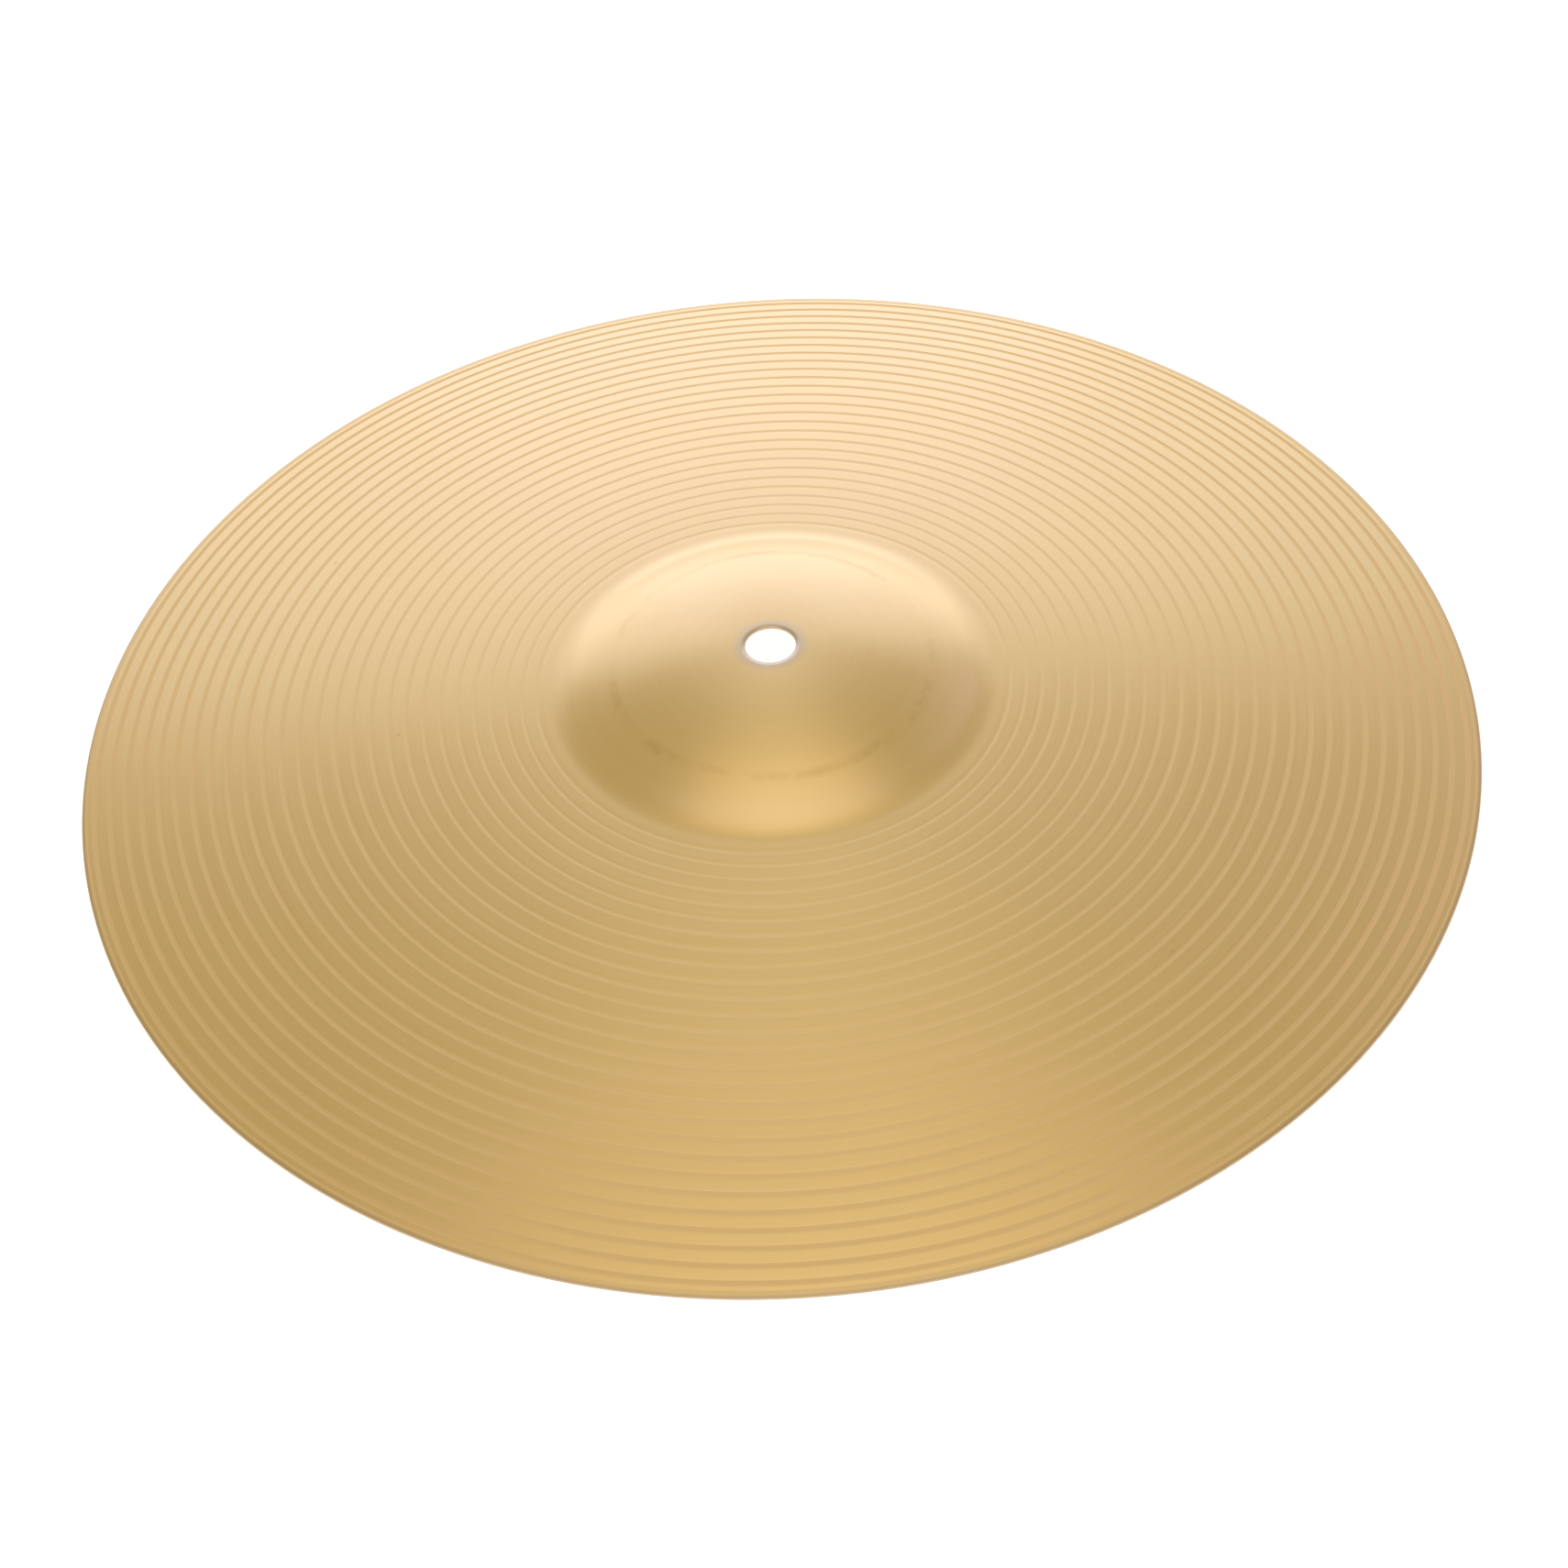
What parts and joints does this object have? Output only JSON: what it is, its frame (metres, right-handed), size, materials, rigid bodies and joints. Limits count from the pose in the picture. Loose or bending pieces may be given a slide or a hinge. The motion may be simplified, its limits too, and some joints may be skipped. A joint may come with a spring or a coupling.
{
  "type": "crash cymbal",
  "caption": "Round brass drum-kit cymbal with a domed bell, a lathe-grooved bow and a plain centre hole, which hangs on a stand's post and is struck at its edge.",
  "frame": {"origin": "on the cymbal's axis, in the plane that the underside of its edge lies in", "axes": "+Z along the axis, from the edge up towards the bell; X and Y are across the disc"},
  "size_m": [0.3556, 0.3556, 0.0305],
  "materials": {
    "cymbal_brass": "satin, brushed in circles by the lathe"
  },
  "bodies": {
    "root": {"cymbal": "cymbal_brass"}
  },
  "joints": []
}
